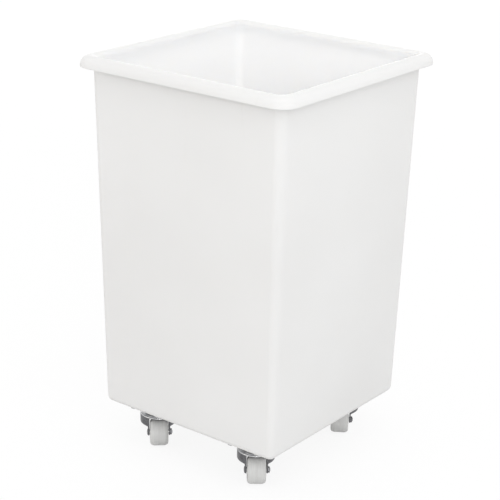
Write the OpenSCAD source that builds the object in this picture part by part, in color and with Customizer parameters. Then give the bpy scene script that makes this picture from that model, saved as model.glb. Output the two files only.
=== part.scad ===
// Square tapered tub with a rolled rim on four swivel castors.
// Millimetres, +Z up, origin on the floor under the middle of the tub.

/* [Tub] */
// Width across the rolled rim, along X
rim_w = 470; // [400:1:620]
// Depth across the rolled rim, along Y
rim_d = 470; // [400:1:620]
// Height of the tub from its underside to the top of the rim
tub_h = 672; // [420:1:860]
// Lean of each wall, from the rim level down to the underside
wall_taper = 16; // [6:1:30]
// Thickness of the moulded wall
wall_t = 5; // [3.5:0.5:7]
// Thickness of the moulded floor
floor_t = 6; // [4:0.5:9]
// Outside radius of the upright corners under the rim
corner_r = 20; // [17:1:40]
// Outside radius of the upright corners at the base
base_corner_r = 13; // [10:1:40]
// Outside radius of the edge between wall and underside
base_edge_r = 12; // [9:1:16]
// Inside radius of the edge between wall and floor
floor_edge_r = 9; // [6:1:16]

/* [Rolled rim] */
// How far the rim stands out from the wall
lip_out = 21; // [16:0.5:30]
// Height of the rim from its top to the lower edge of the lip
lip_drop = 20; // [16:0.5:34]
// Radius of the rim's outer shoulder
lip_outer_r = 11; // [8:0.5:13]
// Radius of the rim's inner shoulder
lip_inner_r = 8; // [6:0.5:10]
// Outside radius of the rim's corners in plan
rim_corner_r = 34; // [30:1:60]

/* [Castor places] */
// Gap in X from a castor's plate to the edge of the flat underside
castor_edge_x = 28; // [2:1:40]
// Gap in Y from a castor's plate to the edge of the flat underside
castor_edge_y = 5; // [2:1:40]
// Direction in plan that the front left wheel trails
angle_front_left = -47; // [-180:1:180]
// Direction in plan that the front right wheel trails
angle_front_right = -50; // [-180:1:180]
// Direction in plan that the rear left wheel trails
angle_rear_left = -52; // [-180:1:180]
// Direction in plan that the rear right wheel trails
angle_rear_right = -57; // [-180:1:180]

/* [Wheel] */
// Diameter of the wheel
wheel_d = 52; // [44:1:70]
// Width of the tread
wheel_w = 34; // [24:1:36]
// Radius of the tread's rounded edges
tread_edge_r = 5; // [2:0.5:7]
// Radial depth of the rim under the tread
tread_depth = 6.5; // [4:0.5:8]
// Thickness of the web between hub and rim
web_t = 9; // [6:0.5:12]
// Diameter of the hub
hub_d = 20; // [18:1:24]
// How far the hub stands out from the tread on each side
hub_out = 0.5; // [0.5:0.5:2]

/* [Fork] */
// Distance from the swivel axis to the axle, in plan
trail = 26; // [22:1:32]
// Gap between the top of the wheel and the crown
wheel_gap = 3; // [2:0.5:12]
// Diameter of the crown
crown_d = 70; // [64:1:74]
// Thickness of the crown
crown_t = 3; // [2.5:0.5:4]
// Thickness of the legs and of the crown's skirt
leg_t = 2.5; // [2:0.5:4]
// Height of the upright part of the crown's skirt
skirt_drop = 17; // [14:1:22]
// Height over which the skirt leans in to the legs
skirt_lean = 11; // [8:1:14]
// Height of the skirt at the back of the crown
skirt_back = 8; // [5:1:12]
// Height of the legs' straight part under the crown
leg_drop = 8; // [4:1:10]
// Gap between the hub and each leg
hub_gap = 1; // [0.5:0.5:3]
// Radius of the leg's round end
leg_end_r = 7; // [6:0.5:9]

/* [Swivel bearing] */
// Thickness of the top plate
plate_t = 3; // [3:0.5:5]
// Height of the boss under the plate that carries the upper race
boss_h = 12.5; // [8:0.5:20]
// How much wider the boss is at the plate than at the race
boss_flare = 4; // [1:0.5:6]
// Distance between the plate's holes along X
hole_pitch_x = 60; // [60:1:72]
// Distance between the plate's holes along Y
hole_pitch_y = 70; // [70:1:96]
// Distance from the plate's holes to its edges
hole_edge = 10; // [9:0.5:14]
// Corner radius of the plate
plate_corner_r = 6; // [3:0.5:8]
// Diameter of the upper balls
upper_ball_d = 5; // [4.5:0.5:6]
// Diameter of the circle of upper balls
upper_ring_d = 42; // [38:1:46]
// Number of upper balls
upper_balls_n = 14; // [8:1:18]
// Diameter of the lower balls
lower_ball_d = 3.5; // [3:0.5:4.5]
// Diameter of the circle of lower balls
lower_ring_d = 19; // [18:0.5:22]
// Number of lower balls
lower_balls_n = 9; // [6:1:11]
// Diameter of the kingpin
kingpin_d = 10; // [8:0.5:11]
// Thickness of the lower race
race_t = 2.5; // [2:0.5:3.5]

/* [Fasteners] */
// Diameter of the bolts that hold the plates
bolt_d = 8; // [6:1:8]
// Diameter of the bolts' round heads
bolt_head_d = 17; // [15:1:20]
// Height of the bolts' round heads
bolt_head_h = 4.5; // [3.5:0.5:6]
// Diameter of the washers inside the tub
washer_d = 24; // [21:1:28]
// Thickness of the washers inside the tub
washer_t = 1.6; // [1:0.1:2.5]
// Width across flats of the nuts under the plates
nut_af = 13; // [12:0.5:13]
// Height of the nuts under the plates
nut_h = 6.5; // [5:0.5:7]
// Diameter of the axle bolt
axle_d = 6; // [5:0.5:7]
// Outside diameter of the sleeve that the wheel turns on
sleeve_d = 10; // [9:0.5:12]
// Diameter of the axle bolt's round head
axle_head_d = 12; // [10:0.5:14]
// Height of the axle bolt's round head
axle_head_h = 2; // [1.5:0.1:4]
// Width across flats of the axle nut
axle_nut_af = 10; // [9:0.5:13]
// Height of the axle nut
axle_nut_h = 3.2; // [2.5:0.1:6]

/* [Fits] */
// Clearance on the radius where a piece turns on a pin
running_gap = 0.05; // [0.03:0.01:0.09]
// Clearance on the radius of a bolt in its hole
hole_gap = 0.4; // [0.2:0.1:0.6]
// Clearance on the radius of a bolt in its nut
thread_gap = 0.05; // [0.02:0.01:0.1]
// Clearance of the balls from the fork's grooves
ball_gap = 0.35; // [0.3:0.05:0.5]
// Length of thread that shows past a nut
thread_out = 1; // [0.5:0.5:3]

/* [Hidden] */
$fn = 32;
ball_steps = 16;
eps = 0.01;
// Steps in each rounded corner of the tub, in plan and in section
corner_steps = 9;
round_steps = 6;
// How far a cutting solid runs past the face it cuts
cut = 1;

// Castor heights, from the floor up: the crown clears the wheel, and so does the race under it
ball_sink = 0.5;
wheel_r = wheel_d / 2;
axle_z = wheel_r;
lower_gap = lower_ball_d - 2 * ball_sink;
race_wall = 1.4;
race_edge = 1;
race_room = 0.6;
race_r = lower_ring_d / 2 + lower_ball_d / 2 + race_room + race_wall;
race_clear = 1.2;
race_reach = max(trail - race_r, 0);
wheel_at_race_z = axle_z + sqrt(max(pow(wheel_r, 2) - pow(race_reach, 2), 0));
crown_z = max(wheel_d + wheel_gap, wheel_at_race_z + race_clear + race_t + lower_gap);
lower_ball_z = crown_z + ball_sink - lower_ball_d / 2;
race_z = crown_z - lower_gap;
race_under_z = race_z - race_t;
crown_top_z = crown_z + crown_t;
boss_z = crown_top_z + upper_ball_d - 2 * ball_sink;
upper_ball_z = boss_z + ball_sink - upper_ball_d / 2;
plate_z = boss_z + boss_h;
castor_h = plate_z + plate_t;
shield_gap = 0.6;
shield_t = 2;
shield_r = upper_ring_d / 2 + upper_ball_d / 2 + race_room;
kingpin_flange = 3;
kingpin_head_r = kingpin_d / 2 + kingpin_flange;
kingpin_head_t = 1.5;
kingpin_foot_t = 2;
kingpin_foot_edge = 1;

// Wheel and fork
hub_w = wheel_w + 2 * hub_out;
leg_in = hub_w / 2 + hub_gap;
leg_out = leg_in + leg_t;
crown_r = crown_d / 2;
crown_edge = 1.5;
skirt_z = crown_z - skirt_drop;
skirt_foot_z = skirt_z - skirt_lean;
leg_shoulder_z = crown_z - leg_drop;
// The legs' upper ends run into the middle of the skirt's wall
leg_reach_in = sqrt(pow(crown_r - leg_t, 2) - pow(leg_in, 2));
leg_reach_out = sqrt(pow(crown_r, 2) - pow(leg_out, 2));
leg_front_x = (leg_reach_in + leg_reach_out) / 2;
leg_back_x = -leg_front_x;
sleeve_r = sleeve_d / 2;
axle_r = axle_d / 2;

// Tub outline
tub_z = castor_h;
tub_top = tub_z + tub_h;
mouth_x = rim_w / 2 - lip_out;
mouth_y = rim_d / 2 - lip_out;
base_x = mouth_x - wall_taper;
base_y = mouth_y - wall_taper;
lip_z = tub_top - lip_drop;
lip_tip = 1.5;

// Castor places: the plates keep to the flat underside and the washers to the flat floor
plate_x = hole_pitch_x + 2 * hole_edge;
plate_y = hole_pitch_y + 2 * hole_edge;
floor_inset = wall_t + floor_edge_r;
castor_x = min(base_x - base_edge_r - castor_edge_x - plate_x / 2,
    base_x - floor_inset - washer_d / 2 - hole_pitch_x / 2);
castor_y = min(base_y - base_edge_r - castor_edge_y - plate_y / 2,
    base_y - floor_inset - washer_d / 2 - hole_pitch_y / 2);
castors = [
    ["front_left", -castor_x, -castor_y, angle_front_left],
    ["front_right", castor_x, -castor_y, angle_front_right],
    ["rear_left", -castor_x, castor_y, angle_rear_left],
    ["rear_right", castor_x, castor_y, angle_rear_right]
];
// Pieces of one castor, and whether they turn with its fork
pieces = [
    ["plate", 0], ["kingpin", 0], ["upper_balls", 0], ["lower_balls", 0], ["lower_race", 0],
    ["fork", 1], ["axle_bolt", 1], ["axle_nut", 1], ["axle_sleeve", 1], ["wheel", 1]
];

// Point on a circle that a straight line from p just touches, on side s
function touch(p, c, r, s) =
    let (a = atan2(p[1] - c[1], p[0] - c[0]) + s * acos(r / norm(p - c)))
    c + r * [cos(a), sin(a)];

// Ring of points round a rectangle with rounded corners, anticlockwise
function ring(hx, hy, r, z) = [
    for (q = [0:3]) for (i = [0:corner_steps])
        let (a = 90 * (q + i / corner_steps))
        [
            (q == 0 || q == 3 ? 1 : -1) * (hx - r) + r * cos(a),
            (q < 2 ? 1 : -1) * (hy - r) + r * sin(a),
            z
        ]
];

// One section entry: inset from the wall's base outline, corner radius, height
// Underside edge, from the flat up to the wall
least_corner_r = 1;
flat_corner_r = max(base_corner_r - base_edge_r, least_corner_r);
section_base = [
    for (i = [0:round_steps])
        let (a = 90 * i / round_steps)
        let (z = base_edge_r * (1 - cos(a)))
        let (inset = base_edge_r * (1 - sin(a)) - wall_taper * z / tub_h)
        [inset, base_corner_r - (base_corner_r - flat_corner_r) * (1 - sin(a)), tub_z + z]
];

// Outside of the wall up to the hollow of the lip, then down to its lower edge
lip_hollow_z = tub_top - wall_t;
lip_hollow_r = 4;
wall_top_inset = -wall_taper * (lip_hollow_z - lip_hollow_r - tub_z) / tub_h;
lip_outer_inset = -wall_taper - lip_out;
lip_wall_inset = lip_outer_inset + wall_t;
lip_wall_r = rim_corner_r - wall_t;
section_hollow = concat(
    [[wall_top_inset, corner_r, lip_hollow_z - lip_hollow_r]],
    [for (i = [1:round_steps])
        let (a = 90 * i / round_steps)
        [wall_top_inset - lip_hollow_r * (1 - cos(a)), corner_r + lip_hollow_r * (1 - cos(a)),
            lip_hollow_z - lip_hollow_r * (1 - sin(a))]],
    [for (i = [0:round_steps])
        let (a = 90 * i / round_steps)
        [lip_wall_inset + lip_hollow_r * (1 - sin(a)), lip_wall_r - lip_hollow_r * (1 - sin(a)),
            lip_hollow_z - lip_hollow_r * (1 - cos(a))]]
);

// Lower edge of the lip, its outer shoulder, the flat top and the inner shoulder
mouth_inset = wall_t - wall_taper * (tub_h - lip_inner_r) / tub_h;
mouth_corner_r = corner_r - wall_t;
section_lip = concat(
    [[lip_wall_inset - lip_tip, lip_wall_r + lip_tip, lip_z],
        [lip_outer_inset + lip_tip / 2, rim_corner_r - lip_tip / 2, lip_z],
        [lip_outer_inset, rim_corner_r, lip_z + lip_tip / 2]],
    [for (i = [0:round_steps])
        let (a = 90 * i / round_steps)
        [lip_outer_inset + lip_outer_r * (1 - cos(a)), rim_corner_r - lip_outer_r * (1 - cos(a)),
            tub_top - lip_outer_r * (1 - sin(a))]],
    [for (i = [0:round_steps])
        let (a = 90 * i / round_steps)
        [mouth_inset - lip_inner_r * (1 - sin(a)), mouth_corner_r + lip_inner_r * (1 - sin(a)),
            tub_top - lip_inner_r * (1 - cos(a))]]
);

// Inside edge between wall and floor
floor_z = tub_z + floor_t;
inner_corner_r = base_corner_r - wall_t;
floor_corner_r = max(inner_corner_r - floor_edge_r, least_corner_r);
section_floor = [
    for (i = [0:round_steps])
        let (a = 90 * i / round_steps)
        let (z = floor_t + floor_edge_r * (1 - sin(a)))
        let (inset = wall_t + floor_edge_r * (1 - cos(a)) - wall_taper * z / tub_h)
        [inset, inner_corner_r - (inner_corner_r - floor_corner_r) * (1 - cos(a)), tub_z + z]
];
section = concat(section_base, section_hollow, section_lip, section_floor);

// Bands of faces between the rings, closed by the underside and the floor
module loft() {
    n = 4 * (corner_steps + 1);
    rings = len(section);
    points = [for (s = section) each ring(base_x - s[0], base_y - s[0], s[1], s[2])];
    bands = [
        for (k = [0:rings - 2]) for (i = [0:n - 1]) for (half = [0:1])
            let (j = (i + 1) % n)
            half == 0 ? [k * n + i, (k + 1) * n + i, (k + 1) * n + j]
                : [k * n + i, (k + 1) * n + j, k * n + j]
    ];
    under = [for (i = [0:n - 1]) i];
    floor_face = [for (i = [n - 1:-1:0]) (rings - 1) * n + i];
    polyhedron(points, concat([under], bands, [floor_face]), convexity = 8);
}

// Places of all the fixing bolts
module at_bolts() {
    for (c = castors)
        for (sx = [-1, 1])
            for (sy = [-1, 1])
                translate([c[1] + sx * hole_pitch_x / 2, c[2] + sy * hole_pitch_y / 2, 0])
                    children();
}

// Moulded tub with the clearance holes of its castor bolts
module tub() {
    color("white")
        difference() {
            loft();
            at_bolts()
                translate([0, 0, tub_z - cut])
                    cylinder(r = bolt_d / 2 + hole_gap, h = floor_t + 2 * cut);
        }
}

// Round head with a domed top, drawn up from its seat
module dome_head(d, h) {
    edge = 1;
    dome_h = h - edge;
    dome_r = (pow(d / 2, 2) + pow(dome_h, 2)) / (2 * dome_h);
    intersection() {
        cylinder(d = d, h = h);
        translate([0, 0, h - dome_r])
            sphere(r = dome_r);
    }
}

// Round-headed bolts, pushed down through washer, floor and plate
module fixing_bolts() {
    bolt_top = floor_z + washer_t;
    bolt_end = plate_z - nut_h - thread_out;
    color("silver")
        at_bolts()
            union() {
                translate([0, 0, bolt_end])
                    cylinder(d = bolt_d, h = bolt_top + eps - bolt_end);
                translate([0, 0, bolt_top])
                    dome_head(bolt_head_d, bolt_head_h);
            }
}

// Washers that spread the bolts' load on the floor
module fixing_washers() {
    color("silver")
        at_bolts()
            translate([0, 0, floor_z])
                difference() {
                    cylinder(d = washer_d, h = washer_t);
                    translate([0, 0, -cut])
                        cylinder(r = bolt_d / 2 + hole_gap, h = washer_t + 2 * cut);
                }
}

// Hexagon with chamfered corners
module hexagon(af, h) {
    corner = af / cos(30) / 2;
    chamfer = (corner - af / 2) / 2;
    intersection() {
        cylinder(r = corner, h = h, $fn = 6);
        rotate_extrude()
            polygon([
                [0, 0], [corner - chamfer, 0], [corner, chamfer],
                [corner, h - chamfer], [corner - chamfer, h], [0, h]
            ]);
    }
}

// Hexagon nut with a plain bore
module hex_nut(af, h, bore_r) {
    difference() {
        hexagon(af, h);
        translate([0, 0, -cut])
            cylinder(r = bore_r, h = h + 2 * cut);
    }
}

// Nuts under the castor plates
module fixing_nuts() {
    color("silver")
        at_bolts()
            translate([0, 0, plate_z - nut_h])
                hex_nut(nut_af, nut_h, bolt_d / 2 + thread_gap);
}

// Ring-shaped groove for a circle of balls
module groove(ring_d, ball_r, z) {
    translate([0, 0, z])
        rotate_extrude()
            translate([ring_d / 2, 0])
                circle(r = ball_r, $fn = ball_steps);
}

// Top plate with its bolt holes, and its boss with kingpin seat, ball groove and shield
module plate() {
    shield_z = crown_top_z + shield_gap;
    boss_r = shield_r + shield_t;
    color("silver")
        difference() {
            union() {
                translate([0, 0, plate_z])
                    linear_extrude(plate_t)
                        plate_outline();
                translate([0, 0, boss_z])
                    cylinder(r1 = boss_r, r2 = boss_r + boss_flare, h = boss_h + eps);
                translate([0, 0, shield_z])
                    difference() {
                        cylinder(r = boss_r, h = boss_z - shield_z + eps);
                        translate([0, 0, -cut])
                            cylinder(r = shield_r, h = boss_z - shield_z + cut);
                    }
            }
            for (sx = [-1, 1])
                for (sy = [-1, 1])
                    translate([sx * hole_pitch_x / 2, sy * hole_pitch_y / 2, plate_z - cut])
                        cylinder(r = bolt_d / 2 + hole_gap, h = plate_t + 2 * cut);
            translate([0, 0, boss_z - cut])
                cylinder(r = kingpin_d / 2 + hole_gap, h = castor_h - boss_z + 2 * cut);
            translate([0, 0, castor_h - kingpin_head_t])
                cylinder(r = kingpin_head_r + hole_gap, h = plate_t);
            groove(upper_ring_d, upper_ball_d / 2, upper_ball_z);
        }
}

// Rectangle with round corners
module plate_outline() {
    hx = plate_x / 2;
    hy = plate_y / 2;
    square([plate_x - 2 * plate_corner_r, plate_y], center = true);
    square([plate_x, plate_y - 2 * plate_corner_r], center = true);
    for (sx = [-1, 1])
        for (sy = [-1, 1])
            translate([sx * (hx - plate_corner_r), sy * (hy - plate_corner_r)])
                circle(r = plate_corner_r);
}

// Riveted pin that holds plate, balls, crown and lower race together
module kingpin() {
    foot_z = race_under_z - kingpin_foot_t;
    color("silver")
        union() {
            translate([0, 0, foot_z])
                cylinder(d = kingpin_d, h = castor_h - foot_z);
            translate([0, 0, castor_h - kingpin_head_t])
                cylinder(r = kingpin_head_r, h = kingpin_head_t);
            translate([0, 0, foot_z])
                cylinder(r1 = kingpin_head_r - kingpin_foot_edge, r2 = kingpin_head_r, h = kingpin_foot_t);
        }
}

// Circle of separate balls
module balls(n, ring_d, d, z) {
    color("gainsboro")
        for (i = [0:n - 1])
            rotate(360 * i / n)
                translate([ring_d / 2, 0, z])
                    sphere(d = d, $fn = ball_steps);
}

module upper_balls() {
    balls(upper_balls_n, upper_ring_d, upper_ball_d, upper_ball_z);
}

module lower_balls() {
    balls(lower_balls_n, lower_ring_d, lower_ball_d, lower_ball_z);
}

// Cup under the crown that carries the lower balls
module lower_race() {
    lip_top = crown_z - shield_gap;
    color("silver")
        difference() {
            rotate_extrude()
                polygon([
                    [kingpin_d / 2 + hole_gap, race_under_z], [race_r - race_edge, race_under_z],
                    [race_r, race_under_z + race_edge], [race_r, lip_top], [race_r - race_wall, lip_top],
                    [race_r - race_wall, race_z], [kingpin_d / 2 + hole_gap, race_z]
                ]);
            groove(lower_ring_d, lower_ball_d / 2, lower_ball_z);
        }
}

// Side outline of a leg, from the crown to the round end at the axle
module leg_outline() {
    top = crown_z + crown_t / 2;
    axle = [trail, axle_z];
    back = [leg_back_x, leg_shoulder_z];
    front = [leg_front_x, leg_shoulder_z];
    difference() {
        union() {
            polygon([
                [leg_back_x, top], back, touch(back, axle, leg_end_r, 1),
                touch(front, axle, leg_end_r, -1), front, [leg_front_x, top]
            ]);
            translate(axle)
                circle(r = leg_end_r);
        }
        translate(axle)
            circle(r = axle_r + hole_gap);
    }
}

// Round crown whose skirt leans in to the legs on both sides and rises towards the back
module crown() {
    difference() {
        rotate_extrude()
            polygon([
                [kingpin_d / 2 + running_gap, crown_top_z], [crown_r - crown_edge, crown_top_z],
                [crown_r, crown_top_z - crown_edge], [crown_r, skirt_z],
                [leg_out, skirt_foot_z], [leg_in - cut, skirt_foot_z],
                [crown_r - leg_t, skirt_z + leg_t / 2], [crown_r - leg_t, crown_z],
                [kingpin_d / 2 + running_gap, crown_z]
            ]);
        translate([-crown_d, -leg_in, skirt_foot_z - cut])
            cube([2 * crown_d, 2 * leg_in, crown_z - skirt_foot_z + cut]);
        rotate([90, 0, 0])
            linear_extrude(2 * crown_d, center = true)
                polygon([
                    [0, skirt_foot_z - cut], [0, skirt_foot_z], [-crown_r - cut, crown_z - skirt_back],
                    [-crown_r - cut, skirt_foot_z - cut]
                ]);
        groove(upper_ring_d, upper_ball_d / 2 + ball_gap, upper_ball_z);
        groove(lower_ring_d, lower_ball_d / 2 + ball_gap, lower_ball_z);
    }
}

// Fork: crown and two legs
module fork() {
    color("dimgray")
        union() {
            crown();
            for (y = [-leg_out, leg_in])
                translate([0, y + leg_t, 0])
                    rotate([90, 0, 0])
                        linear_extrude(leg_t)
                            leg_outline();
        }
}

// Turns a piece drawn along Z so that it lies along the axle
module on_axle(start) {
    translate([trail, start, axle_z])
        rotate([-90, 0, 0])
            children();
}

// Bolt with a low round head against one leg
module axle_bolt() {
    color("silver")
        union() {
            on_axle(-leg_out)
                mirror([0, 0, 1])
                    dome_head(axle_head_d, axle_head_h);
            on_axle(-leg_out - eps)
                cylinder(r = axle_r, h = eps + 2 * leg_out + axle_nut_h + thread_out);
        }
}

// Nut against the other leg
module axle_nut() {
    color("silver")
        on_axle(leg_out)
            hex_nut(axle_nut_af, axle_nut_h, axle_r + thread_gap);
}

// Sleeve clamped between the legs
module axle_sleeve() {
    color("gainsboro")
        on_axle(-leg_in)
            difference() {
                cylinder(r = sleeve_r, h = 2 * leg_in);
                translate([0, 0, -cut])
                    cylinder(r = axle_r + hole_gap, h = 2 * (leg_in + cut));
            }
}

// Wheel with a rounded tread, a thin web and a hub that turns on the sleeve
module wheel() {
    r = wheel_r;
    in_r = r - tread_depth;
    bore_r = sleeve_r + running_gap;
    e = tread_edge_r;
    half = wheel_w / 2;
    color("lightgray")
        on_axle(0)
            rotate_extrude()
                union() {
                    polygon([
                        [bore_r, -hub_w / 2], [hub_d / 2, -hub_w / 2], [hub_d / 2, -web_t / 2],
                        [in_r, -web_t / 2], [in_r, -half], [r - e, -half], [r - e, -half + e],
                        [r, -half + e], [r, half - e], [r - e, half - e], [r - e, half],
                        [in_r, half], [in_r, web_t / 2], [hub_d / 2, web_t / 2],
                        [hub_d / 2, hub_w / 2], [bore_r, hub_w / 2]
                    ]);
                    for (y = [-half + e, half - e])
                        translate([r - e, y])
                            circle(r = e);
                }
}

// One piece of a castor by its name
module piece(p) {
    if (p == "plate") plate();
    if (p == "kingpin") kingpin();
    if (p == "upper_balls") upper_balls();
    if (p == "lower_balls") lower_balls();
    if (p == "lower_race") lower_race();
    if (p == "fork") fork();
    if (p == "axle_bolt") axle_bolt();
    if (p == "axle_nut") axle_nut();
    if (p == "axle_sleeve") axle_sleeve();
    if (p == "wheel") wheel();
}

tub();
fixing_bolts();
fixing_washers();
fixing_nuts();
for (c = castors)
    for (p = pieces)
        translate([c[1], c[2], 0])
                rotate(p[1] * c[3])
                    piece(p[0]);
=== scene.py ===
import math

import bmesh
import bpy
from mathutils import Matrix, Vector


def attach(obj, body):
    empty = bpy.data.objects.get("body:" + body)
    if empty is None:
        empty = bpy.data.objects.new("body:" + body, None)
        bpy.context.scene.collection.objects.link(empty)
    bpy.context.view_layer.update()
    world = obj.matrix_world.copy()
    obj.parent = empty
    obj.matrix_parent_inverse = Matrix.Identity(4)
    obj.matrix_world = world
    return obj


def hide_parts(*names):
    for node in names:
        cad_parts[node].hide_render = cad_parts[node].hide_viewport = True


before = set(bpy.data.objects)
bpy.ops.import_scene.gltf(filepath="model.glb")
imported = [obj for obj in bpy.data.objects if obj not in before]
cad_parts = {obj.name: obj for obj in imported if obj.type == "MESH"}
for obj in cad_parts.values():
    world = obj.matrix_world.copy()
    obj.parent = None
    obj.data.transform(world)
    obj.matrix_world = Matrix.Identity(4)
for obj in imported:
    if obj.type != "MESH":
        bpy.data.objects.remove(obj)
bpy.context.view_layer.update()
print("frame loaded:", len(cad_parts), "nodes")

mm = 0.001
black, white = (0, 0, 0, 1), (1, 1, 1, 1)


# edit-mode helpers

def newPiece(name):  # an empty mesh object, open in edit mode
    if bpy.context.object and bpy.context.object.mode != "OBJECT":
        bpy.ops.object.mode_set(mode="OBJECT")
    bpy.ops.object.select_all(action="DESELECT")
    bpy.ops.mesh.primitive_plane_add(size=1, location=(0, 0, 0))
    piece = bpy.context.object
    piece.name = name
    piece.data.name = name
    bpy.ops.object.mode_set(mode="EDIT")
    bpy.ops.mesh.select_all(action="SELECT")
    bpy.ops.mesh.delete(type="VERT")
    return piece


def editMesh():
    mesh = bmesh.from_edit_mesh(bpy.context.object.data)
    mesh.verts.ensure_lookup_table()
    return mesh


def pick(test):  # select only the points that pass the test
    bpy.ops.mesh.select_mode(type="VERT")
    bpy.ops.mesh.select_all(action="DESELECT")
    mesh = editMesh()
    for v in mesh.verts:
        if test(v):
            v.select_set(True)
    mesh.select_flush_mode()
    bmesh.update_edit_mesh(bpy.context.object.data)


def drawLoop(points):  # a closed line, drawn by pulling one point along
    bpy.ops.mesh.select_mode(type="VERT")
    bpy.ops.mesh.select_all(action="DESELECT")
    start = len(editMesh().verts)
    bpy.ops.mesh.primitive_plane_add(size=mm, location=points[0])
    bpy.ops.mesh.merge(type="CENTER")
    for before, after in zip(points, points[1:]):
        bpy.ops.mesh.extrude_vertices_move(
            TRANSFORM_OT_translate={"value": Vector(after) - Vector(before)})
    pick(lambda v: v.index in (start, start + len(points) - 1))
    bpy.ops.mesh.edge_face_add()
    pick(lambda v: v.index >= start)


def closeUp(distance):  # weld, and turn every face outwards
    bpy.ops.mesh.select_mode(type="VERT")
    bpy.ops.mesh.select_all(action="SELECT")
    bpy.ops.mesh.remove_doubles(threshold=distance)
    bpy.ops.mesh.normals_make_consistent(inside=False)


def roundEdges(piece, width, angle, segments):
    bpy.ops.object.mode_set(mode="OBJECT")
    bevel = piece.modifiers.new("softEdges", "BEVEL")
    bevel.width = width
    bevel.segments = segments
    bevel.limit_method = "ANGLE"
    bevel.angle_limit = math.radians(angle)
    bpy.ops.object.modifier_apply(modifier=bevel.name)


def cutAway(piece, tool):  # take the tool's shape out of the piece
    bpy.ops.object.mode_set(mode="OBJECT")
    bpy.context.view_layer.objects.active = piece
    cut = piece.modifiers.new("cutAway", "BOOLEAN")
    cut.operation = "DIFFERENCE"
    cut.solver = "EXACT"
    cut.object = tool
    bpy.ops.object.modifier_apply(modifier=cut.name)
    bpy.data.objects.remove(tool)


def smooth(piece, angle):  # leave edit mode and shade smoothly, but not over sharper edges
    bpy.ops.object.mode_set(mode="OBJECT")
    bpy.ops.object.select_all(action="DESELECT")
    piece.select_set(True)
    bpy.context.view_layer.objects.active = piece
    bpy.ops.object.shade_smooth_by_angle(angle=math.radians(angle))


def dress(piece, material):
    piece.data.materials.clear()
    piece.data.materials.append(material)


def placed(model, name, turn, move):  # a copy with its own mesh, put in place in that mesh
    mesh = model.data.copy()
    mesh.name = name
    mesh.transform(Matrix.Translation(move) @ Matrix.Rotation(turn, 4, "Z"))
    piece = bpy.data.objects.new(name, mesh)
    bpy.context.collection.objects.link(piece)
    return piece


# shader helpers

def fill(tree, made, inputs):  # each input gets a plain value or another node's output
    for label, value in inputs.items():
        if isinstance(value, bpy.types.NodeSocket):
            tree.links.new(value, made.inputs[label])
        else:
            made.inputs[label].default_value = value


def node(tree, kind, inputs, **settings):
    made = tree.nodes.new(kind)
    for key, value in settings.items():
        setattr(made, key, value)
    fill(tree, made, inputs)
    return made


def combined(tree, operation, first, second):  # one value from two
    return node(tree, "ShaderNodeMath", {0: first, 1: second}, operation=operation).outputs[0]


def multiplyAdd(tree, value, factor, added):
    return node(tree, "ShaderNodeMath", {0: value, 1: factor, 2: added},
                operation="MULTIPLY_ADD").outputs[0]


def ramp(tree, value, low, high, dark=black, light=white):
    made = node(tree, "ShaderNodeValToRGB", {"Fac": value})
    dim, bright = made.color_ramp.elements
    dim.position, bright.position = low, high
    dim.color, bright.color = dark, light
    return made.outputs["Color"]


def ranged(tree, value, low, high):  # 0 to 1 becomes low to high
    return node(tree, "ShaderNodeMapRange",
                {"Value": value, "To Min": low, "To Max": high}).outputs["Result"]


def mixed(tree, share, under, over):  # one colour laid over another
    return node(tree, "ShaderNodeMix", {0: share, 6: under, 7: over},
                data_type="RGBA").outputs[2]


def newGroup(name, inputs, outputs):
    group = bpy.data.node_groups.new(name, "ShaderNodeTree")
    for label in inputs:
        kind = "NodeSocketVector" if label == "Vector" else "NodeSocketFloat"
        group.interface.new_socket(label, in_out="INPUT", socket_type=kind)
    for label in outputs:
        group.interface.new_socket(label, in_out="OUTPUT", socket_type="NodeSocketFloat")
    start = group.nodes.new("NodeGroupInput")
    end = group.nodes.new("NodeGroupOutput")
    return group, start.outputs, end


def newMaterial(name, metallic=0.0):
    material = bpy.data.materials.new(name)
    material.use_nodes = True
    tree = material.node_tree
    shader = tree.nodes["Principled BSDF"]
    shader.inputs["Metallic"].default_value = metallic
    where = node(tree, "ShaderNodeTexCoord", {}).outputs["Object"]
    return material, tree, shader, where


def surface(tree, shader, colour, dulling, height, look):  # colour, uneven gloss, fine bumps
    bump = node(tree, "ShaderNodeBump",
                {"Height": height, "Strength": look["bump"], "Distance": look["bumpDepth"]})
    fill(tree, shader, {
        "Base Color": colour,
        "Roughness": ranged(tree, dulling, look["roughFrom"], look["roughTo"]),
        "Normal": bump.outputs["Normal"],
    })


# shader effects that several finishes share

skinGrain = {
    "waveDetail": 2.0, "waveRoughness": 0.45, "grainDetail": 3.0, "grainRoughness": 0.55,
    "grainShare": 0.05,  # height of the grain beside that of the waves
}


def moulding():  # slow waves and fine grain of a plastic moulding
    g = skinGrain
    group, given, end = newGroup("mouldedSkin", ["Vector", "Wave Size", "Grain Size"],
                                 ["Clouds", "Height"])
    slow = node(group, "ShaderNodeTexNoise", {
        "Vector": given["Vector"], "Scale": given["Wave Size"],
        "Detail": g["waveDetail"], "Roughness": g["waveRoughness"]}).outputs["Fac"]
    fine = node(group, "ShaderNodeTexNoise", {
        "Vector": given["Vector"], "Scale": given["Grain Size"],
        "Detail": g["grainDetail"], "Roughness": g["grainRoughness"]}).outputs["Fac"]
    fill(group, end, {"Clouds": slow, "Height": multiplyAdd(group, fine, g["grainShare"], slow)})
    return group


scuffs = {
    "stretch": (1.0, 1.0, 0.12), "lineDetail": 6.0, "lineRoughness": 0.7,
    "patchSize": 7.0, "patchDetail": 3.0,
    "lineFrom": 0.60, "lineTo": 0.72, "patchFrom": 0.48, "patchTo": 0.68,
}


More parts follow.
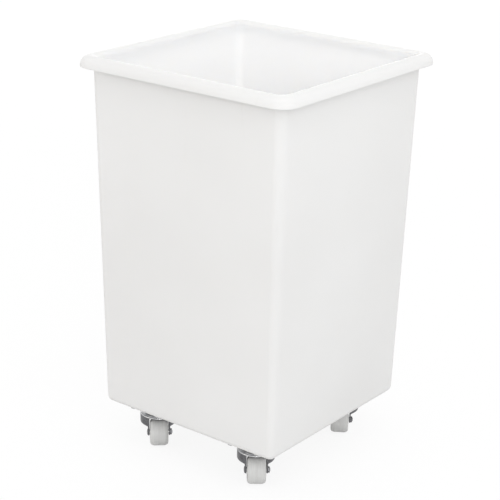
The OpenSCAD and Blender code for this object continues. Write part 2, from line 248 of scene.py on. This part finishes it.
def scuffing():  # thin rubbed marks, broken up into patches
    s = scuffs
    group, given, end = newGroup("rubbedMarks", ["Vector", "Mark Size", "Amount"], ["Marks"])
    stretch = node(group, "ShaderNodeMapping",
                   {"Vector": given["Vector"], "Scale": s["stretch"]}).outputs["Vector"]
    lines = node(group, "ShaderNodeTexNoise", {
        "Vector": stretch, "Scale": given["Mark Size"],
        "Detail": s["lineDetail"], "Roughness": s["lineRoughness"]}).outputs["Fac"]
    patch = node(group, "ShaderNodeTexNoise", {
        "Vector": given["Vector"], "Scale": s["patchSize"],
        "Detail": s["patchDetail"]}).outputs["Fac"]
    both = combined(group, "MULTIPLY", ramp(group, lines, s["lineFrom"], s["lineTo"]),
                    ramp(group, patch, s["patchFrom"], s["patchTo"]))
    fill(group, end, {"Marks": combined(group, "MULTIPLY", both, given["Amount"])})
    return group


plating = {"cloudDetail": 5.0, "crystalShare": 0.35}


def mottling():  # clouds and small crystals of zinc plating
    group, given, end = newGroup("zincMottle", ["Vector", "Crystal Size", "Cloud Size"],
                                 ["Clouds", "Mottle"])
    crystals = node(group, "ShaderNodeTexVoronoi", {
        "Vector": given["Vector"], "Scale": given["Crystal Size"]}).outputs["Distance"]
    clouds = node(group, "ShaderNodeTexNoise", {
        "Vector": given["Vector"], "Scale": given["Cloud Size"],
        "Detail": plating["cloudDetail"]}).outputs["Fac"]
    fill(group, end, {
        "Clouds": clouds,
        "Mottle": multiplyAdd(group, crystals, plating["crystalShare"], clouds),
    })
    return group


def levelling():  # 0 below one height and 1 above another
    group, given, end = newGroup("heightMask", ["Vector", "From", "To"], ["Mask"])
    height = node(group, "ShaderNodeSeparateXYZ", {0: given["Vector"]}).outputs["Z"]
    mask = node(group, "ShaderNodeMapRange", {
        "Value": height, "From Min": given["From"], "From Max": given["To"]})
    fill(group, end, {"Mask": mask.outputs["Result"]})
    return group


mouldedSkin = moulding()
rubbedMarks = scuffing()
zincMottle = mottling()
heightMask = levelling()


# finishes

tubLook = {
    "outside": (0.792, 0.789, 0.782, 1),
    "outsideCloud": (0.764, 0.76, 0.752, 1),
    "inside": (0.95, 0.95, 0.95, 1),  # painted whiter than the outside: painted light for the brighter inside of the tub
    "insideCloud": (0.93, 0.93, 0.93, 1),
    "rubbed": (0.70, 0.69, 0.67, 1),
    "paintedRimShade": (0.775, 0.772, 0.765, 1),  # painted shade on the top of the rim, to hold back its light
    "rimShadeFrom": 0.738, "rimShadeTo": 0.749,
    "cloudFrom": 0.35, "cloudTo": 0.65,
    "waveSize": 3.2, "grainSize": 420.0,
    "markSize": 55.0, "markAmount": 0.35, "insideMarks": 0.15,  # share that shows inside
    "roughFrom": 0.50, "roughTo": 0.64, "specular": 0.24,
    "bump": 0.12, "bumpDepth": 0.004,
    "glowOutside": 0.15, "glowInside": 0.88,  # light that soaks into the wall
    "glowDepth": 0.016, "glowTint": (1.0, 0.95, 0.88),
}


def tubPlastic():
    look = tubLook
    material, tree, shader, where = newMaterial("whiteTubPlastic")
    side = node(tree, "ShaderNodeAttribute", {}, attribute_name="innerWall").outputs["Fac"]
    skin = node(tree, "ShaderNodeGroup", {
        "Vector": where, "Wave Size": look["waveSize"], "Grain Size": look["grainSize"],
    }, node_tree=mouldedSkin).outputs
    marks = node(tree, "ShaderNodeGroup", {
        "Vector": where, "Mark Size": look["markSize"], "Amount": look["markAmount"],
    }, node_tree=rubbedMarks).outputs["Marks"]
    # painted shade: the top of the rim, between these heights, is darkened
    rimShadeMask = node(tree, "ShaderNodeGroup", {
        "Vector": where, "From": look["rimShadeFrom"], "To": look["rimShadeTo"],
    }, node_tree=heightMask).outputs["Mask"]
    outer = ramp(tree, skin["Clouds"], look["cloudFrom"], look["cloudTo"],
                 look["outsideCloud"], look["outside"])
    # the inside is painted whiter than the outside, as painted light for its brighter inside
    inner = ramp(tree, skin["Clouds"], look["cloudFrom"], look["cloudTo"],
                 look["insideCloud"], look["inside"])
    paintedRimShade = mixed(tree, rimShadeMask, mixed(tree, side, outer, inner), look["paintedRimShade"])
    spared = ranged(tree, side, 1.0, look["insideMarks"])
    worn = mixed(tree, combined(tree, "MULTIPLY", marks, spared), paintedRimShade, look["rubbed"])
    surface(tree, shader, worn, skin["Clouds"], skin["Height"], look)
    fill(tree, shader, {
        "Specular IOR Level": look["specular"],
        "Subsurface Weight": ranged(tree, side, look["glowOutside"], look["glowInside"]),
        "Subsurface Radius": look["glowTint"],
        "Subsurface Scale": look["glowDepth"],
    })
    return material


wheelLook = {
    "light": (0.67, 0.67, 0.66, 1),
    "dark": (0.56, 0.56, 0.55, 1),
    "trodden": (0.41, 0.405, 0.39, 1),
    "toneFrom": 0.38, "toneTo": 0.62,
    "lineStretch": (2.0, 60.0, 1.0), "lineDetail": 4.0, "lineRoughness": 0.6,  # round the tread
    "waveSize": 40.0, "grainSize": 900.0,
    "markSize": 160.0, "markAmount": 0.6,
    "roughFrom": 0.42, "roughTo": 0.6,
    "bump": 0.25, "bumpDepth": 0.0006,
}


def wheelPlastic():
    look = wheelLook
    material, tree, shader, where = newMaterial("greyWheelPlastic")
    skin = node(tree, "ShaderNodeGroup", {
        "Vector": where, "Wave Size": look["waveSize"], "Grain Size": look["grainSize"],
    }, node_tree=mouldedSkin).outputs
    marks = node(tree, "ShaderNodeGroup", {
        "Vector": where, "Mark Size": look["markSize"], "Amount": look["markAmount"],
    }, node_tree=rubbedMarks).outputs["Marks"]
    around = node(tree, "ShaderNodeUVMap", {}, uv_map="roundTread").outputs["UV"]
    stretch = node(tree, "ShaderNodeMapping",
                   {"Vector": around, "Scale": look["lineStretch"]}).outputs["Vector"]
    lines = node(tree, "ShaderNodeTexNoise", {
        "Vector": stretch, "Scale": 1.0,
        "Detail": look["lineDetail"], "Roughness": look["lineRoughness"]}).outputs["Fac"]
    tone = ramp(tree, lines, look["toneFrom"], look["toneTo"], look["dark"], look["light"])
    worn = mixed(tree, marks, tone, look["trodden"])
    surface(tree, shader, worn, lines, skin["Height"], look)
    return material


zincLook = {
    "crystalSize": 420.0, "cloudSize": 150.0, "toneFrom": 0.40, "toneTo": 0.85,
    "bump": 0.15, "bumpDepth": 0.0002,
}
zincFinishes = {
    # zinc mottle, darkened all over: painted shade for the shade under the tub
    "shadedForkZinc": {
        "bright": (0.175, 0.175, 0.182, 1), "dull": (0.085, 0.085, 0.09, 1),
        "roughFrom": 0.24, "roughTo": 0.44,
        "edgeFrom": 0.0555, "edgeTo": 0.0568, "edge": (0.80, 0.80, 0.81, 1)},  # painted highlight along the top edge of the crown
    # zinc mottle, darkened like the fork's: painted shade for the shade under the tub
    "shadedAxleZinc": {
        "bright": (0.22, 0.22, 0.23, 1), "dull": (0.10, 0.10, 0.105, 1),
        "roughFrom": 0.28, "roughTo": 0.46},
    "plateZinc": {
        "bright": (0.55, 0.56, 0.57, 1), "dull": (0.33, 0.335, 0.34, 1),
        "roughFrom": 0.25, "roughTo": 0.42},
    "fixingZinc": {
        "bright": (0.58, 0.58, 0.58, 1), "dull": (0.36, 0.36, 0.37, 1),
        "roughFrom": 0.22, "roughTo": 0.4},
    "ballSteel": {
        "bright": (0.72, 0.73, 0.75, 1), "dull": (0.6, 0.61, 0.63, 1),
        "roughFrom": 0.08, "roughTo": 0.16},
}


def zincSteel(name):
    look = {**zincLook, **zincFinishes[name]}
    material, tree, shader, where = newMaterial(name, metallic=1.0)
    mottle = node(tree, "ShaderNodeGroup", {
        "Vector": where, "Crystal Size": look["crystalSize"], "Cloud Size": look["cloudSize"],
    }, node_tree=zincMottle).outputs
    tone = ramp(tree, mottle["Mottle"], look["toneFrom"], look["toneTo"],
                look["dull"], look["bright"])
    # a painted highlight: lighter along the top edge of the fork's crown
    if "edge" in look:
        topHighlightMask = node(tree, "ShaderNodeGroup", {
            "Vector": where, "From": look["edgeFrom"], "To": look["edgeTo"],
        }, node_tree=heightMask).outputs["Mask"]
        tone = mixed(tree, topHighlightMask, tone, look["edge"])
    surface(tree, shader, tone, mottle["Clouds"], mottle["Clouds"], look)
    return material


whiteTub = tubPlastic()
greyWheel = wheelPlastic()
zinc = {name: zincSteel(name) for name in zincFinishes}
print("materials made")


# the tub, in mm

tub = {
    "rim": 470.0, "height": 672.0, "stand": 77.5, "taper": 16.0, "wall": 5.0, "floor": 6.0,
    "corner": 20.0, "baseCorner": 13.0, "flatCorner": 1.0, "baseEdge": 12.0, "floorEdge": 9.0,
    "lipOut": 21.0, "lipDrop": 20.0, "lipOuter": 17.0, "lipFall": 18.0, "lipInner": 8.0,
    "rimCorner": 34.0, "hollow": 7.0, "lipTip": 1.5,
    "tipInner": [(0.35, 0.9), (1.0, 0.15)],  # shares of lipTip, out and up
    "tipOuter": [(1.0, 0.0), (0.3, 0.3), (0.0, 1.0)],  # in and up
    "cornerSteps": 12, "roundSteps": 8, "wallSteps": 10, "weld": 0.02, "smoothAngle": 40,
}


def tubRings():  # from the underside up the outside, over the rim and down to the floor
    t = tub
    rings = []
    stand, wall, steps = t["stand"], t["wall"], t["roundSteps"]
    top = stand + t["height"]
    outer = t["rim"] / 2
    base = outer - t["lipOut"] - t["taper"]
    quarter = [math.pi / 2 * i / steps for i in range(steps + 1)]
    arc = [(math.sin(a), math.cos(a)) for a in quarter]

    def lean(z):  # half width of the outside wall, z above the underside
        return base + t["taper"] * z / t["height"]

    def ring(half, corner, z, inside=0.0):  # half width, corner radius, height, inside look
        rings.append((half, corner, z, inside))

    for s, c in arc:  # rounded edge of the underside
        z = t["baseEdge"] * (1 - c)
        ring(lean(z) - t["baseEdge"] * (1 - s),
             t["baseCorner"] - (t["baseCorner"] - t["flatCorner"]) * (1 - s), stand + z)
    hollowTop = top - wall
    low, high = t["baseEdge"], hollowTop - t["hollow"] - stand
    for i in range(1, t["wallSteps"] + 1):  # outside wall, its corners widening upwards
        up = i / t["wallSteps"]
        z = low + (high - low) * up
        ring(lean(z), t["baseCorner"] + (t["corner"] - t["baseCorner"]) * up, stand + z)
    wallTop = lean(high)
    for s, c in arc[1:]:  # hollow under the lip, out from the wall
        grow = t["hollow"] * (1 - c)
        ring(wallTop + grow, t["corner"] + grow, hollowTop - t["hollow"] * (1 - s))
    inner = outer - wall
    innerCorner = t["rimCorner"] - wall
    for s, c in arc:  # and down behind the lip
        shrink = t["hollow"] * (1 - s)
        ring(inner - shrink, innerCorner - shrink, hollowTop - t["hollow"] * (1 - c))
    tip, lipLow = t["lipTip"], top - t["lipDrop"]
    for out, up in t["tipInner"]:  # lower edge of the lip
        ring(inner + tip * out, innerCorner + tip * out, lipLow + tip * up)
    for back, up in t["tipOuter"]:
        ring(outer - tip * back, t["rimCorner"] - tip * back, lipLow + tip * up)
    for s, c in arc:  # outer shoulder, from the edge of the lip up to the top
        shrink = t["lipOuter"] * (1 - c)
        ring(outer - shrink, t["rimCorner"] - shrink, top - t["lipFall"] * (1 - s))
    low, high = t["floor"] + t["floorEdge"], t["height"] - t["lipInner"]
    insideTop = lean(high) - wall
    insideCorner, lowCorner = t["corner"] - wall, t["baseCorner"] - wall
    for i, (s, c) in enumerate(arc):  # inner shoulder, where the inside look fades in
        grow = t["lipInner"] * (1 - s)
        ring(insideTop + grow, insideCorner + grow, top - t["lipInner"] * (1 - c), i / steps)
    for i in range(1, t["wallSteps"]):  # inside wall
        down = i / t["wallSteps"]
        z = high + (low - high) * down
        ring(lean(z) - wall, insideCorner + (lowCorner - insideCorner) * down, stand + z, 1.0)
    for s, c in arc:  # rounded edge of the floor
        z = t["floor"] + t["floorEdge"] * (1 - s)
        ring(lean(z) - wall - t["floorEdge"] * (1 - c),
             lowCorner - (lowCorner - t["flatCorner"]) * (1 - c), stand + z, 1.0)
    return rings


def makeTub():
    piece = newPiece("mouldedTub")
    rings = tubRings()
    count = 4 * (tub["cornerSteps"] + 1)
    for half, corner, z, _ in rings:  # each ring is a square with its corners rounded off
        bpy.ops.mesh.select_all(action="DESELECT")
        bpy.ops.mesh.primitive_plane_add(size=2 * half * mm, location=(0, 0, z * mm))
        bpy.ops.mesh.bevel(offset=corner * mm, offset_type="OFFSET", segments=tub["cornerSteps"],
                           profile=0.5, affect="VERTICES")
        bpy.ops.mesh.delete(type="ONLY_FACE")
    for k in range(len(rings) - 1):  # skin between neighbouring rings
        pick(lambda v: k * count <= v.index < (k + 2) * count)
        bpy.ops.mesh.bridge_edge_loops()
    for k in (0, len(rings) - 1):  # close the underside and the floor
        pick(lambda v: k * count <= v.index < (k + 1) * count)
        bpy.ops.mesh.edge_face_add()
    mesh = editMesh()
    side = mesh.verts.layers.float.new("innerWall")  # 1 on the inner wall and floor, 0 outside
    for v in mesh.verts:
        v[side] = rings[v.index // count][-1]
    bmesh.update_edit_mesh(piece.data)
    closeUp(tub["weld"] * mm)
    smooth(piece, tub["smoothAngle"])
    dress(piece, whiteTub)
    print("tub:", len(rings), "rings,", len(piece.data.vertices), "points")
    return piece


tubPiece = makeTub()
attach(tubPiece, "base")
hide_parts("tub")


# the castors, in mm and degrees

castor = {
    "places": {  # x, y and turn of each
        "front_left": (-118.0, -136.0, -47.0), "front_right": (118.0, -136.0, -50.0),
        "rear_left": (-118.0, 136.0, -52.0), "rear_right": (118.0, 136.0, -57.0)},
    "trail": 26.0, "axle": 26.0, "bore": 5.2,
    "crown": 35.0, "crownTop": 58.0, "crownThick": 3.0,
    "crownRound": [(6.0, 0.0), (1.5, 0.3), (0.4, 0.9), (0.0, 2.0)],  # in from the side, down
    "skirtLow": 38.0, "skirtFoot": 27.0, "skirtBack": 47.0, "skirtIn": 0.5, "skirtRun": 1.0,
    "skirtRound": [(0.0, 1.6), (0.4, 0.5), (1.4, -0.4)],  # in from the side, up from skirtLow
    "legIn": 18.5, "legThick": 2.5, "legEnd": 7.0, "legShoulder": 47.0, "legReach": 27.36,
    "legOver": 1.0, "legSteps": 16,  # legOver: how far a leg runs into the crown
    "slotHigh": 40.0, "slotOver": 0.3, "play": 0.05, "steps": 96, "weld": 0.02,
    "edge": 0.45, "edgeAngle": 40, "edgeSteps": 2, "smoothAngle": 40,
}


def touchAngle(point, centre, radius, side):  # where a straight line from it meets the round end
    away = point - centre
    return math.atan2(away.y, away.x) + side * math.acos(radius / away.length)


def legOutline(under):  # x and z round a leg, from the crown to the axle and back up
    c = castor
    reach, shoulder, end, steps = c["legReach"], c["legShoulder"], c["legEnd"], c["legSteps"]
    axle = Vector((c["trail"], c["axle"]))
    back, front = Vector((-reach, shoulder)), Vector((reach, shoulder))
    turnFrom = touchAngle(back, axle, end, 1)
    turnTo = touchAngle(front, axle, end, -1)
    turnTo += 2 * math.pi if turnTo < turnFrom else 0
    outline = [(-reach, under + c["legOver"]), tuple(back)]
    for i in range(steps + 1):
        a = turnFrom + (turnTo - turnFrom) * i / steps
        outline.append((axle.x + end * math.cos(a), axle.y + end * math.sin(a)))
    return outline + [tuple(front), (reach, under + c["legOver"])]


def makeFork():  # crown with a skirt that leans in to two legs, drawn with the axle towards +X
    c = castor
    top, outer, thick, foot = c["crownTop"], c["crown"], c["legThick"], c["skirtFoot"]
    under = top - c["crownThick"]
    legOut = c["legIn"] + thick
    bpy.ops.object.select_all(action="DESELECT")
    bpy.ops.mesh.primitive_cube_add(
        size=1, location=(0, 0, (under + c["slotOver"] - c["slotHigh"] / 2) * mm))
    slot = bpy.context.object  # room for the wheel
    bpy.ops.object.mode_set(mode="EDIT")
    bpy.ops.mesh.select_all(action="SELECT")
    bpy.ops.transform.resize(
        value=(4 * outer * mm, 2 * (c["legIn"] - c["play"]) * mm, c["slotHigh"] * mm))
    piece = newPiece("forkModel")
    profile = [(c["bore"], top)]
    profile += [(outer - back, top - down) for back, down in c["crownRound"]]
    profile += [(outer - back, c["skirtLow"] + up) for back, up in c["skirtRound"]]
    profile += [(legOut, foot), (c["legIn"] - c["skirtIn"], foot),
                (outer - thick, c["skirtLow"] + thick / 2), (outer - thick, under),
                (c["bore"], under)]
    drawLoop([(r * mm, 0, z * mm) for r, z in profile])
    bpy.ops.mesh.spin(steps=c["steps"], angle=2 * math.pi, center=(0, 0, 0), axis=(0, 0, 1))
    closeUp(c["weld"] * mm)
    rise = (c["skirtBack"] - foot) / (outer + c["skirtRun"])
    bpy.ops.mesh.select_all(action="SELECT")
    bpy.ops.mesh.bisect(plane_co=(0, 0, (foot - c["play"]) * mm), plane_no=(rise, 0, 1),
                        use_fill=True, clear_inner=True)  # the skirt rises towards the back
    cutAway(piece, slot)
    bpy.ops.object.mode_set(mode="EDIT")
    outline = legOutline(under)
    for y in (-legOut, c["legIn"]):
        first = len(editMesh().verts)
        drawLoop([(x * mm, y * mm, z * mm) for x, z in outline])
        bpy.ops.mesh.edge_face_add()
        bpy.ops.mesh.extrude_region_move(TRANSFORM_OT_translate={"value": (0, thick * mm, 0)})
        pick(lambda v: v.index >= first)
        bpy.ops.mesh.normals_make_consistent(inside=False)
    roundEdges(piece, c["edge"] * mm, c["edgeAngle"], c["edgeSteps"])
    smooth(piece, c["smoothAngle"])
    # zinc darkened with painted shade, with a painted highlight on the top edge
    dress(piece, zinc["shadedForkZinc"])
    return piece


wheel = {
    "radius": 26.0, "width": 34.0, "edge": 5.5, "edgeWide": 8.5, "edgeSteps": 8,
    "rim": 6.5, "web": 9.0, "hub": 10.0, "hubOut": 0.5, "bore": 5.05,
    "boreEdge": 0.8, "hubEdge": 1.0,
    "hubFoot": [(0.6, 2.0), (2.4, 0.0)],  # out from the hub, up from the web
    "rimFoot": [(2.0, 0.0), (0.4, 1.8)],  # in from the rim, up from the web
    "rimEdge": (0.8, 1.0), "flat": 4.0,
    "seam": 0.25, "seamTop": 0.6, "seamFoot": 0.25,  # depth and half widths
    "steps": 72, "weld": 0.01, "smoothAngle": 35,
}


def wheelSection():  # radius and place along the axle, from the bore round the rim and back
    w = wheel
    half, r, e, wide, hub = w["width"] / 2, w["radius"], w["edge"], w["edgeWide"], w["hub"]
    inner, web = r - w["rim"], w["web"] / 2
    hubHalf = half + w["hubOut"]
    rimOut, rimDown = w["rimEdge"]
    right = [(w["bore"], hubHalf - w["boreEdge"]), (w["bore"] + w["boreEdge"], hubHalf),
             (hub - w["hubEdge"], hubHalf), (hub, hubHalf - w["hubEdge"])]
    right += [(hub + out, web + up) for out, up in w["hubFoot"]]
    right += [(inner - back, web + up) for back, up in w["rimFoot"]]
    right += [(inner, half - rimDown), (inner + rimOut, half), (r - e, half)]
    for i in range(1, w["edgeSteps"] + 1):  # rounded edge of the tread
        a = math.pi / 2 * i / w["edgeSteps"]
        right.append((r - e + e * math.sin(a), half - wide + wide * math.cos(a)))
    right += [(r, w["flat"]), (r, w["seamTop"]), (r - w["seam"], w["seamFoot"])]
    return right + [(x, -y) for x, y in reversed(right)]


def makeWheel():  # section drawn above the axle, then spun round it
    w, trail, r = wheel, castor["trail"], wheel["radius"]
    piece = newPiece("wheelModel")
    drawLoop([(trail * mm, y * mm, (r + x) * mm) for x, y in wheelSection()])
    bpy.ops.mesh.spin(steps=w["steps"], angle=2 * math.pi, center=(trail * mm, 0, r * mm),
                      axis=(0, 1, 0))
    closeUp(w["weld"] * mm)
    smooth(piece, w["smoothAngle"])
    uv = piece.data.uv_layers.new(name="roundTread")
    for loop in piece.data.loops:  # turn and width, so that marks run round the tread
        p = piece.data.vertices[loop.vertex_index].co
        turn = math.atan2(p.z - r * mm, p.x - trail * mm) / (2 * math.pi)
        uv.data[loop.index].uv = (abs(turn) * 2, p.y / mm / w["width"] + 0.5)
    dress(piece, greyWheel)
    return piece


forkModel = makeFork()
wheelModel = makeWheel()
for name, (x, y, turn) in castor["places"].items():
    move = Vector((x, y, 0)) * mm
    forkPiece = placed(forkModel, name + "_forkShell", math.radians(turn), move)
    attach(forkPiece, name + "_swivel")
    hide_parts(name + "_fork")
    wheelPiece = placed(wheelModel, name + "_wheelTread", math.radians(turn), move)
    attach(wheelPiece, name + "_roller")
    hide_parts(name + "_wheel")
for model in (forkModel, wheelModel):
    bpy.data.objects.remove(model)
print("castors placed")


# the exact solids that stay in view

cadLooks = {  # by the last word of a node's name
    "plate": "plateZinc", "race": "plateZinc", "balls": "ballSteel",
    # axle bolts and nuts take the darkened zinc, painted shade
    "bolt": "shadedAxleZinc", "nut": "shadedAxleZinc",
    "kingpin": "fixingZinc", "sleeve": "fixingZinc",
    "bolts": "fixingZinc", "washers": "fixingZinc", "nuts": "fixingZinc",
}
for name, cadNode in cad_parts.items():
    look = cadLooks.get(name.split("_")[-1])
    if look:
        dress(cadNode, zinc[look])


# studio, in metres and degrees

studio = {
    "floor": 14.0, "floorColour": (0.9, 0.9, 0.9, 1), "bounce": (0.74, 0.74, 0.74, 1),
    "shade": 0.12,  # how strongly the floor shows shadows
    "sky": (0.98, 0.98, 0.98, 1),
    "aim": (0.0, 0.0, 0.4),
    "lamps": [  # name, azimuth, height, distance, power, size, tint
        ("cameraLamp", 46, 20, 7.0, 66.0, 1.2, (1.0, 1.0, 1.0)),
        ("frontLamp", -30, 8, 7.0, 24.0, 3.0, (1.0, 0.90, 0.80)),
        ("rightLamp", 70, 38, 1.8, 2.0, 0.8, (0.96, 0.98, 1.0)),
        ("rearLamp", 217, 6, 7.0, 120.0, 3.0, (1.0, 1.0, 1.0)),
        ("topLamp", 60, 66, 7.0, 24.0, 3.0, (1.0, 1.0, 1.0)),
    ],
}


def seenDirectly(tree):  # 1 for what the camera sees, also in metal
    rays = node(tree, "ShaderNodeLightPath", {}).outputs
    mirrored = combined(tree, "MAXIMUM", rays["Is Camera Ray"], rays["Is Glossy Ray"])
    return combined(tree, "MAXIMUM", mirrored, rays["Is Transmission Ray"])


def mixedShader(tree, share, first, second):
    return node(tree, "ShaderNodeMixShader", {
        0: share, 1: first.outputs[0], 2: second.outputs[0]})


def makeFloor():  # white where it is seen, apart from the shadow, and grey for the light it returns
    bpy.ops.object.select_all(action="DESELECT")
    bpy.ops.mesh.primitive_plane_add(size=studio["floor"], location=(0, 0, 0))
    floor = bpy.context.object
    floor.name = "studioFloor"
    material = bpy.data.materials.new("paleFloor")
    material.use_nodes = True
    tree = material.node_tree
    tree.nodes.clear()
    matt = node(tree, "ShaderNodeBsdfDiffuse", {"Color": studio["floorColour"]})
    soft = node(tree, "ShaderNodeBsdfDiffuse", {"Color": studio["bounce"]})
    glow = node(tree, "ShaderNodeEmission", {"Color": white})
    part = mixedShader(tree, 1 - studio["shade"], matt, glow)
    split = mixedShader(tree, seenDirectly(tree), soft, part)
    node(tree, "ShaderNodeOutputMaterial", {"Surface": split.outputs[0]})
    floor.data.materials.append(material)


def makeSky():
    world = bpy.data.worlds.new("studioSky")
    world.use_nodes = True
    bpy.context.scene.world = world
    tree = world.node_tree
    tree.nodes.clear()
    soft = node(tree, "ShaderNodeBackground", {"Color": studio["sky"]})
    bare = node(tree, "ShaderNodeBackground", {"Color": white})
    split = mixedShader(tree, seenDirectly(tree), soft, bare)
    node(tree, "ShaderNodeOutputWorld", {"Surface": split.outputs[0]})


def makeLamps():
    for name, azimuth, height, distance, power, size, tint in studio["lamps"]:
        light = bpy.data.lights.new(name, "AREA")
        light.shape = "DISK"
        light.size = size
        light.energy = power
        light.color = tint
        lamp = bpy.data.objects.new(name, light)
        bpy.context.collection.objects.link(lamp)
        turn, rise = math.radians(azimuth), math.radians(height)
        away = Vector((math.cos(rise) * math.sin(turn), -math.cos(rise) * math.cos(turn),
                       math.sin(rise)))
        lamp.location = Vector(studio["aim"]) + away * distance
        lamp.rotation_euler = away.to_track_quat("Z", "Y").to_euler()


view = {
    "place": (1.6377, -2.1551, 1.3616), "azimuth": 37.404, "elevation": 20.006, "roll": 1.269,
    "lens": 111.0, "sensor": 36.0,
}


def makeCamera():
    data = bpy.data.cameras.new("photoCamera")
    data.lens = view["lens"]
    data.sensor_width = view["sensor"]
    camera = bpy.data.objects.new("photoCamera", data)
    bpy.context.collection.objects.link(camera)
    aim = (Matrix.Rotation(math.radians(view["azimuth"]), 3, "Z")
           @ Matrix.Rotation(math.radians(90 - view["elevation"]), 3, "X")
           @ Matrix.Rotation(math.radians(view["roll"]), 3, "Z"))
    camera.location = view["place"]
    camera.rotation_euler = aim.to_euler()
    bpy.context.scene.camera = camera


makeFloor()
makeSky()
makeLamps()
makeCamera()
bpy.context.scene.view_settings.view_transform = "Standard"
print("studio ready")
